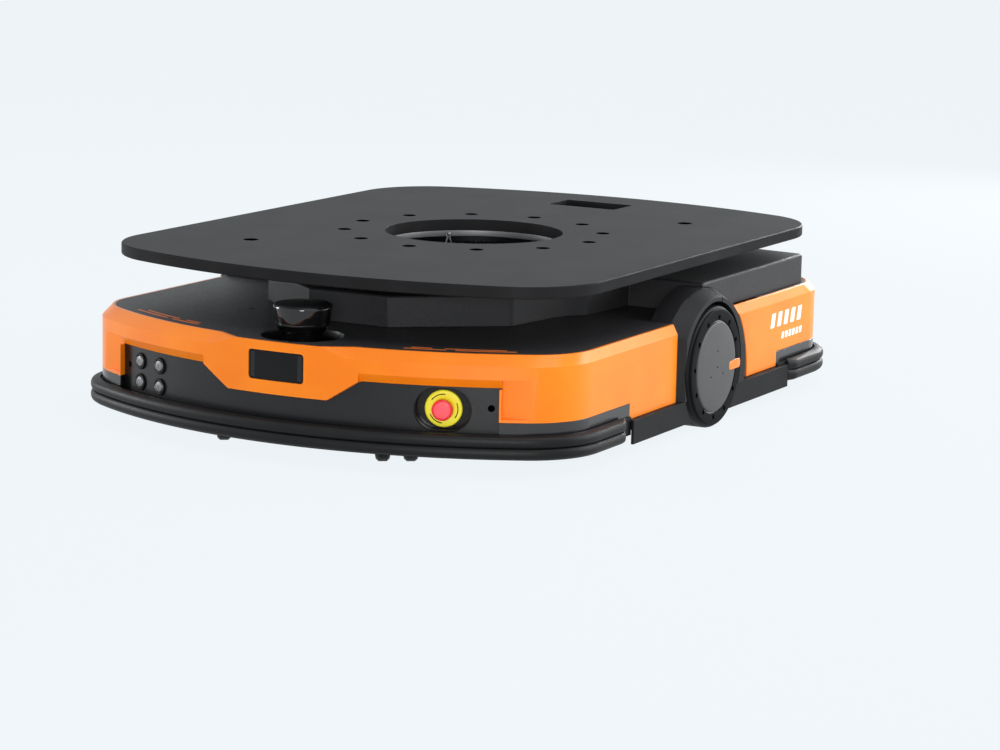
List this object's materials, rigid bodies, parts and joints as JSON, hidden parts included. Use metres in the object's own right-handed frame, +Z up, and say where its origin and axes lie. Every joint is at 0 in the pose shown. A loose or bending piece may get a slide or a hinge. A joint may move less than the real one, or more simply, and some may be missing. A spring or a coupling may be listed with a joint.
{
  "type": "autonomous mobile robot with a lifting turntable platform",
  "caption": "Low autonomous mobile robot: bumper-ringed body with side drive wheels, front lidar and controls, and a flat load platform that lifts and turns.",
  "frame": {"origin": "on the floor, under the middle of the robot, on the line of the drive wheels' axles", "axes": "+Z up; the front, with the display, faces -Y; +Y is the length towards the rear; X is the width along the drive axle"},
  "size_m": [0.82, 1.15, 0.256],
  "materials": {
    "orange_shell": "smooth painted moulding, satin gloss",
    "grained_black": "fine grained moulding",
    "grey_trim": "satin",
    "bumper_rubber": "matte extrusion",
    "tyre_rubber": "matte",
    "frame_steel": "black powder coat",
    "plate_aluminium": "fine textured dark grey coat",
    "bright_steel": "machined",
    "cast_alloy": "machined",
    "dark_cap": "satin grey coat",
    "lidar_black": "glossy",
    "display_glass": "dark glass front on a black module",
    "stop_red": "satin",
    "stop_yellow": "satin",
    "button_chrome": "polished",
    "motor_black": "satin",
    "caster_tread": "matte polyurethane",
    "box_grey": "satin coat"
  },
  "bodies": {
    "chassis": {"battery_pack": "box_grey", "button_rings": "grained_black", "chassis_frame": "frame_steel", "control_box": "box_grey", "display_screen": "display_glass", "front_bumper": "bumper_rubber", "front_deck": "grained_black", "front_panel": "grained_black", "front_shell": "orange_shell", "front_trim": "grey_trim", "guide_posts": "bright_steel", "left_front_fender": "grained_black", "left_gearmotor": "motor_black", "left_rear_fender": "grained_black", "left_skirts": "grey_trim", "lidar_base": "grained_black", "lidar_window": "lidar_black", "lift_bearing_blocks": "cast_alloy", "lift_gearmotor": "motor_black", "rear_bumper": "bumper_rubber", "rear_deck": "grained_black", "rear_shell": "orange_shell", "rear_trim": "grey_trim", "right_front_fender": "grained_black", "right_gearmotor": "motor_black", "right_rear_fender": "grained_black", "right_skirts": "grey_trim", "stop_collar": "stop_yellow", "stop_housing": "grained_black", "upper_cover": "grained_black"},
    "right_wheel": {"right_tyre": "tyre_rubber", "right_hub": "cast_alloy", "right_clamp_ring": "motor_black", "right_hub_cap": "dark_cap"},
    "left_wheel": {"left_tyre": "tyre_rubber", "left_hub": "cast_alloy", "left_clamp_ring": "motor_black", "left_hub_cap": "dark_cap"},
    "front_left_caster_swivel": {"front_left_caster_fork": "bright_steel"},
    "front_left_caster_roller": {"front_left_caster_wheels": "caster_tread"},
    "front_right_caster_swivel": {"front_right_caster_fork": "bright_steel"},
    "front_right_caster_roller": {"front_right_caster_wheels": "caster_tread"},
    "rear_left_caster_swivel": {"rear_left_caster_fork": "bright_steel"},
    "rear_left_caster_roller": {"rear_left_caster_wheels": "caster_tread"},
    "rear_right_caster_swivel": {"rear_right_caster_fork": "bright_steel"},
    "rear_right_caster_roller": {"rear_right_caster_wheels": "caster_tread"},
    "front_lift_lever": {"front_lift_shaft": "bright_steel"},
    "rear_lift_lever": {"rear_lift_shaft": "bright_steel"},
    "carriage": {"lift_carriage": "cast_alloy", "slew_gearmotor": "motor_black", "slew_outer_race": "bright_steel"},
    "slew_drive_pinion": {"slew_pinion": "bright_steel"},
    "platform": {"platform_plate": "plate_aluminium", "slew_ring_gear": "bright_steel"},
    "button_1": {"push_button_1": "button_chrome"},
    "button_2": {"push_button_2": "button_chrome"},
    "button_3": {"push_button_3": "button_chrome"},
    "button_4": {"push_button_4": "button_chrome"},
    "emergency_stop": {"stop_button": "stop_red"}
  },
  "joints": [
    {"name": "right_wheel_spin", "type": "hinge", "parent": "chassis", "child": "right_wheel", "pos_m": [0.38, 0, 0.09], "axis": [1, 0, 0], "continuous": true},
    {"name": "left_wheel_spin", "type": "hinge", "parent": "chassis", "child": "left_wheel", "pos_m": [-0.38, 0, 0.09], "axis": [1, 0, 0], "continuous": true},
    {"name": "front_left_caster_swivel_turn", "type": "hinge", "parent": "chassis", "child": "front_left_caster_swivel", "pos_m": [-0.13, -0.45, 0.06], "axis": [0, 0, 1], "continuous": true},
    {"name": "front_left_caster_roll", "type": "hinge", "parent": "front_left_caster_swivel", "child": "front_left_caster_roller", "pos_m": [-0.11882, -0.46658, 0.025], "axis": [0.829, 0.5592, 0], "continuous": true},
    {"name": "front_right_caster_swivel_turn", "type": "hinge", "parent": "chassis", "child": "front_right_caster_swivel", "pos_m": [0.13, -0.45, 0.06], "axis": [0, 0, 1], "continuous": true},
    {"name": "front_right_caster_roll", "type": "hinge", "parent": "front_right_caster_swivel", "child": "front_right_caster_roller", "pos_m": [0.14118, -0.46658, 0.025], "axis": [0.829, 0.5592, 0], "continuous": true},
    {"name": "rear_left_caster_swivel_turn", "type": "hinge", "parent": "chassis", "child": "rear_left_caster_swivel", "pos_m": [-0.13, 0.45, 0.06], "axis": [0, 0, 1], "continuous": true},
    {"name": "rear_left_caster_roll", "type": "hinge", "parent": "rear_left_caster_swivel", "child": "rear_left_caster_roller", "pos_m": [-0.11882, 0.43342, 0.025], "axis": [0.829, 0.5592, 0], "continuous": true},
    {"name": "rear_right_caster_swivel_turn", "type": "hinge", "parent": "chassis", "child": "rear_right_caster_swivel", "pos_m": [0.13, 0.45, 0.06], "axis": [0, 0, 1], "continuous": true},
    {"name": "rear_right_caster_roll", "type": "hinge", "parent": "rear_right_caster_swivel", "child": "rear_right_caster_roller", "pos_m": [0.14118, 0.43342, 0.025], "axis": [0.829, 0.5592, 0], "continuous": true},
    {"name": "platform_lift", "type": "slide", "parent": "chassis", "child": "carriage", "axis": [0, 0, 1], "range_m": [0, 0.06]},
    {"name": "rear_lever_turn", "type": "hinge", "parent": "chassis", "child": "rear_lift_lever", "pos_m": [0, 0.045, 0.165], "axis": [1, 0, 0], "range_deg": [0, 47.2]},
    {"name": "front_lever_turn", "type": "hinge", "parent": "chassis", "child": "front_lift_lever", "pos_m": [0, -0.045, 0.165], "axis": [-1, 0, 0], "range_deg": [0, 47.2]},
    {"name": "platform_turn", "type": "hinge", "parent": "carriage", "child": "platform", "pos_m": [0, 0, 0.239], "axis": [0, 0, 1], "continuous": true},
    {"name": "slew_pinion_turn", "type": "hinge", "parent": "carriage", "child": "slew_drive_pinion", "pos_m": [0.12, 0, 0.2], "axis": [0, 0, 1], "continuous": true},
    {"name": "button_1_press", "type": "slide", "parent": "chassis", "child": "button_1", "axis": [0.4038, 0.9149, 0], "range_m": [0, 0.0025], "stiffness_N_per_m": 400, "springref_m": -0.002},
    {"name": "button_2_press", "type": "slide", "parent": "chassis", "child": "button_2", "axis": [0.4038, 0.9149, 0], "range_m": [0, 0.0025], "stiffness_N_per_m": 400, "springref_m": -0.002},
    {"name": "button_3_press", "type": "slide", "parent": "chassis", "child": "button_3", "axis": [0.3361, 0.9418, 0], "range_m": [0, 0.0025], "stiffness_N_per_m": 400, "springref_m": -0.002},
    {"name": "button_4_press", "type": "slide", "parent": "chassis", "child": "button_4", "axis": [0.3361, 0.9418, 0], "range_m": [0, 0.0025], "stiffness_N_per_m": 400, "springref_m": -0.002},
    {"name": "emergency_stop_press", "type": "slide", "parent": "chassis", "child": "emergency_stop", "axis": [-0.3519, 0.936, 0], "range_m": [0, 0.004]}
  ],
  "couplings": [
    {"joint": "rear_lever_turn", "follows": "platform_lift", "rad_per_m": 13.717},
    {"joint": "front_lever_turn", "follows": "platform_lift", "rad_per_m": 13.717},
    {"joint": "slew_pinion_turn", "follows": "platform_turn", "ratio": 5}
  ]
}
